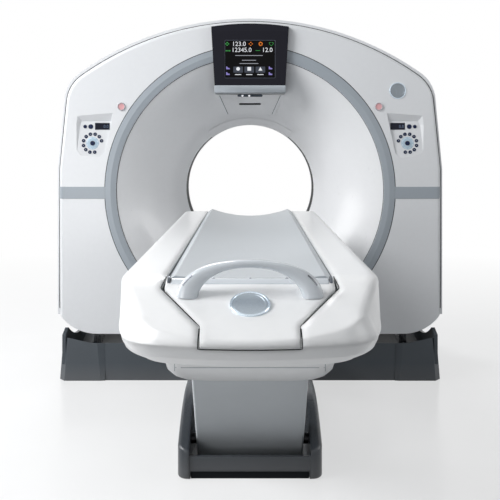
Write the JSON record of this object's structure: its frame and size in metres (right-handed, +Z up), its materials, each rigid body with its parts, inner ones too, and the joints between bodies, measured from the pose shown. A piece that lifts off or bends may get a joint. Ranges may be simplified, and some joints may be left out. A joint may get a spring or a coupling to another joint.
{
  "type": "ct scanner",
  "caption": "Tilting ring-shaped scanner gantry with a wide flared bore, and a long patient table with a sliding cradle on a swing-arm lift.",
  "frame": {"origin": "on the floor under the centre of the bore, on the underside of the gantry's base", "axes": "+X to the right seen from the table's foot, +Y along the bore from the table to the back of the gantry, +Z up"},
  "size_m": [1.99, 3.6159, 1.8597],
  "materials": {
    "white_plastic": "satin moulded cover",
    "grey_plastic": "satin",
    "funnel_grey": "satin",
    "dark_plastic": "satin",
    "screen_glass": "gloss",
    "dark_paint": "satin",
    "light_paint": "satin",
    "cradle_board": "satin",
    "key_blue": "satin",
    "steel": "machined",
    "cast": "painted",
    "alloy": "machined",
    "copper": "turned",
    "rubber": "moulded",
    "handle_silver": "satin",
    "lamp_lens": "gloss",
    "window_film": "gloss"
  },
  "bodies": {
    "floor_stand": {"gantry_base": "dark_paint", "base_end_left": "dark_paint", "base_end_right": "dark_paint", "table_base": "dark_paint", "foot_shafts": "steel"},
    "gantry": {"tilt_frame": "cast", "tilt_shoe_left": "steel", "tilt_shoe_right": "steel", "cover_brackets": "light_paint", "bearing_outer_race": "steel", "brush_block": "dark_plastic", "drive_motor": "cast", "drive_belt": "rubber", "front_cover": "white_plastic", "ring_trim": "grey_plastic", "front_funnel": "funnel_grey", "scan_window": "window_film", "rear_funnel": "funnel_grey", "rear_cover": "white_plastic", "top_cover_left": "white_plastic", "top_cover_right": "white_plastic", "side_cover_left": "white_plastic", "side_cover_right": "white_plastic", "belt_stripes": "grey_plastic", "display_housing": "dark_plastic", "display_screen": "screen_glass", "funnel_trim": "funnel_grey", "throat_lens": "funnel_grey", "control_plate_left": "white_plastic", "control_plate_right": "white_plastic", "ring_keys": "key_blue", "panel_displays": "screen_glass", "exposure_lamps": "lamp_lens"},
    "rotor": {"rotor_drum": "alloy", "bearing_inner_race": "steel", "slip_ring": "copper", "xray_tube": "light_paint", "generator": "light_paint", "cooler": "alloy", "detector": "dark_plastic"},
    "motor_pulley": {"motor_pulley": "steel"},
    "front_leg": {"front_leg": "dark_paint", "leg_panel": "light_paint"},
    "rear_leg": {"rear_leg": "dark_paint"},
    "table": {"table_frame": "dark_paint", "table_shafts": "steel", "upper_shell": "white_plastic", "belly_pan": "white_plastic", "table_deck": "light_paint", "guide_rails": "steel"},
    "cradle": {"cradle": "cradle_board", "cradle_end_block": "white_plastic", "cradle_handle": "handle_silver", "cradle_carriages": "alloy"},
    "centre_button_left": {"centre_button_left": "key_blue"},
    "round_button_left": {"round_button_left": "key_blue"},
    "small_button_left": {"small_button_left": "key_blue"},
    "centre_button_right": {"centre_button_right": "key_blue"},
    "round_button_right": {"round_button_right": "key_blue"},
    "small_button_right": {"small_button_right": "key_blue"}
  },
  "joints": [
    {"name": "gantry_tilt", "type": "hinge", "parent": "floor_stand", "child": "gantry", "pos_m": [0, 0, 0.97], "axis": [1, 0, 0], "range_deg": [-30, 30]},
    {"name": "rotor_spin", "type": "hinge", "parent": "gantry", "child": "rotor", "pos_m": [0, 0, 0.97], "axis": [0, 1, 0], "continuous": true},
    {"name": "pulley_spin", "type": "hinge", "parent": "gantry", "child": "motor_pulley", "pos_m": [0.6, 0.135, 0.39], "axis": [0, 1, 0], "continuous": true},
    {"name": "leg_lift", "type": "hinge", "parent": "floor_stand", "child": "front_leg", "pos_m": [0, -1.66, 0.1], "axis": [-1, 0, 0], "range_deg": [-36.5, 13]},
    {"name": "rear_leg_turn", "type": "hinge", "parent": "floor_stand", "child": "rear_leg", "pos_m": [0, -1.06, 0.1], "axis": [-1, 0, 0], "range_deg": [-36.5, 13]},
    {"name": "table_level", "type": "hinge", "parent": "front_leg", "child": "table", "pos_m": [0, -2.17322, 0.66999], "axis": [-1, 0, 0], "range_deg": [-13, 36.5]},
    {"name": "cradle_travel", "type": "slide", "parent": "table", "child": "cradle", "axis": [0, 1, 0], "range_m": [0, 1.7]},
    {"name": "centre_press_left", "type": "slide", "parent": "gantry", "child": "centre_button_left", "axis": [0, 0.9956, -0.0941], "range_m": [0, 0.0015], "stiffness_N_per_m": 900, "springref_m": -0.0004},
    {"name": "round_press_left", "type": "slide", "parent": "gantry", "child": "round_button_left", "axis": [0, 0.9956, -0.0941], "range_m": [0, 0.0015], "stiffness_N_per_m": 900, "springref_m": -0.0004},
    {"name": "small_press_left", "type": "slide", "parent": "gantry", "child": "small_button_left", "axis": [0, 0.9956, -0.0941], "range_m": [0, 0.0015], "stiffness_N_per_m": 900, "springref_m": -0.0004},
    {"name": "centre_press_right", "type": "slide", "parent": "gantry", "child": "centre_button_right", "axis": [0, 0.9956, -0.0941], "range_m": [0, 0.0015], "stiffness_N_per_m": 900, "springref_m": -0.0004},
    {"name": "round_press_right", "type": "slide", "parent": "gantry", "child": "round_button_right", "axis": [0, 0.9956, -0.0941], "range_m": [0, 0.0015], "stiffness_N_per_m": 900, "springref_m": -0.0004},
    {"name": "small_press_right", "type": "slide", "parent": "gantry", "child": "small_button_right", "axis": [0, 0.9956, -0.0941], "range_m": [0, 0.0015], "stiffness_N_per_m": 900, "springref_m": -0.0004}
  ],
  "couplings": [
    {"joint": "pulley_spin", "follows": "rotor_spin", "ratio": 11.167},
    {"joint": "rear_leg_turn", "follows": "leg_lift", "ratio": 1},
    {"joint": "table_level", "follows": "leg_lift", "ratio": -1}
  ]
}
